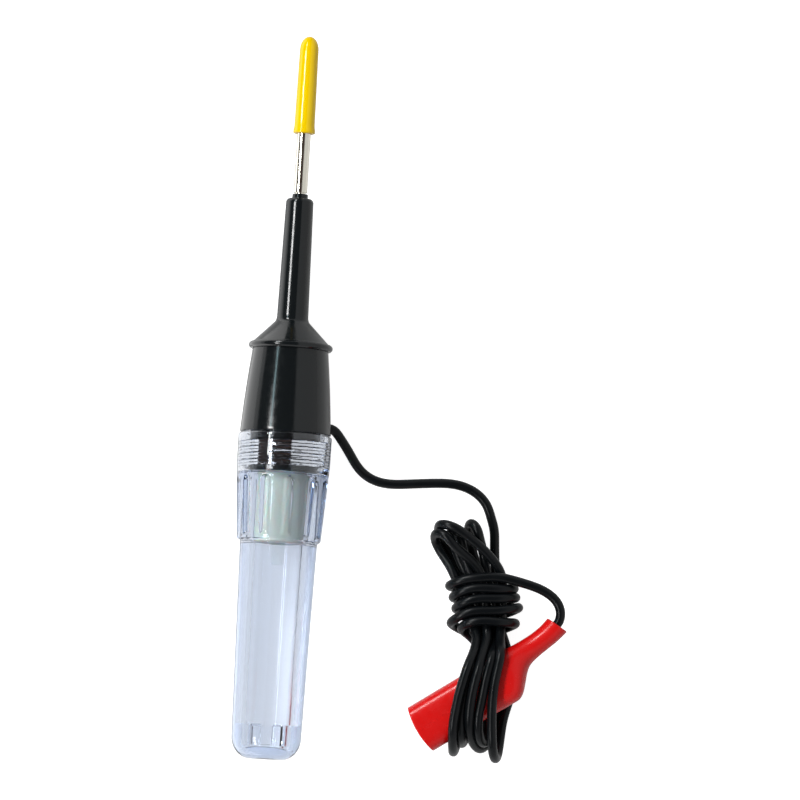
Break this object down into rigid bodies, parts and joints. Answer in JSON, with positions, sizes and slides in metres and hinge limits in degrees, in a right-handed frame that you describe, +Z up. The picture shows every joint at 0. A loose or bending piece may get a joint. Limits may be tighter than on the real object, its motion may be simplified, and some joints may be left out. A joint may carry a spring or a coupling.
{
  "type": "automotive circuit tester",
  "caption": "Lamp circuit tester: capped metal probe in a black nose, clear screw-on handle over a small lamp, and a thin black cord tied in a hank with a red sleeved spring clip.",
  "frame": {"origin": "bottom centre of the tester's own box, the floor that it lies on", "axes": "+Y from the closed end of the handle to the probe's tip cap, +Z up, +X to the side where the cord lies"},
  "size_m": [0.0713, 0.152, 0.0203],
  "materials": {
    "black_plastic": "glossy moulded black",
    "clear_plastic": "clear, faintly blue-violet",
    "milky_plastic": "translucent milky",
    "yellow_vinyl": "glossy soft vinyl",
    "red_vinyl": "glossy soft vinyl",
    "black_cord": "satin black insulation",
    "nickel": "polished nickel plate",
    "spring_steel": "drawn steel",
    "brass": "plain brass",
    "copper": "bare stranded copper",
    "solder": "dull solder",
    "bulb_glass": "clear blown glass"
  },
  "bodies": {
    "nose": {"nose_housing": "black_plastic", "probe": "nickel", "contact_spring": "spring_steel", "ground_ring": "brass", "nose_conductor": "copper", "cord_lead": "black_cord", "cord_hank": "black_cord", "cord_tail": "black_cord", "clip_boot": "red_vinyl", "clip_jaw_fixed": "nickel", "clip_pin": "spring_steel", "clip_spring": "spring_steel", "clip_conductor": "copper"},
    "cap": {"tip_cap": "yellow_vinyl"},
    "lamp": {"lamp_sleeve": "milky_plastic", "bulb_glass": "bulb_glass", "bulb_base": "brass", "bulb_contact": "solder"},
    "grip": {"handle": "clear_plastic"},
    "jaw": {"clip_jaw_moving": "nickel"}
  },
  "joints": [
    {"name": "cap_pull", "type": "slide", "parent": "nose", "child": "cap", "axis": [0, 0.9987, -0.0508], "range_m": [0, 0.02]},
    {"name": "lamp_slide", "type": "slide", "parent": "nose", "child": "lamp", "axis": [0, -0.9987, 0.0508], "range_m": [0, 0.0082], "deforming": ["contact_spring"]},
    {"name": "handle_turn", "type": "hinge", "parent": "lamp", "child": "grip", "pos_m": [0, -0.0119, 0.00997], "axis": [0, -0.9987, 0.0508], "range_deg": [0, 2160]},
    {"name": "jaw_open", "type": "hinge", "parent": "nose", "child": "jaw", "pos_m": [0.04347, -0.05991, 0.0067], "axis": [0, 0, 1], "range_deg": [0, 20], "stiffness_Nm_per_rad": 0.02, "springref_deg": -28.65, "deforming": ["clip_spring", "clip_boot"]}
  ],
  "couplings": [
    {"joint": "lamp_slide", "follows": "handle_turn", "m_per_rad": 0.00021486}
  ]
}
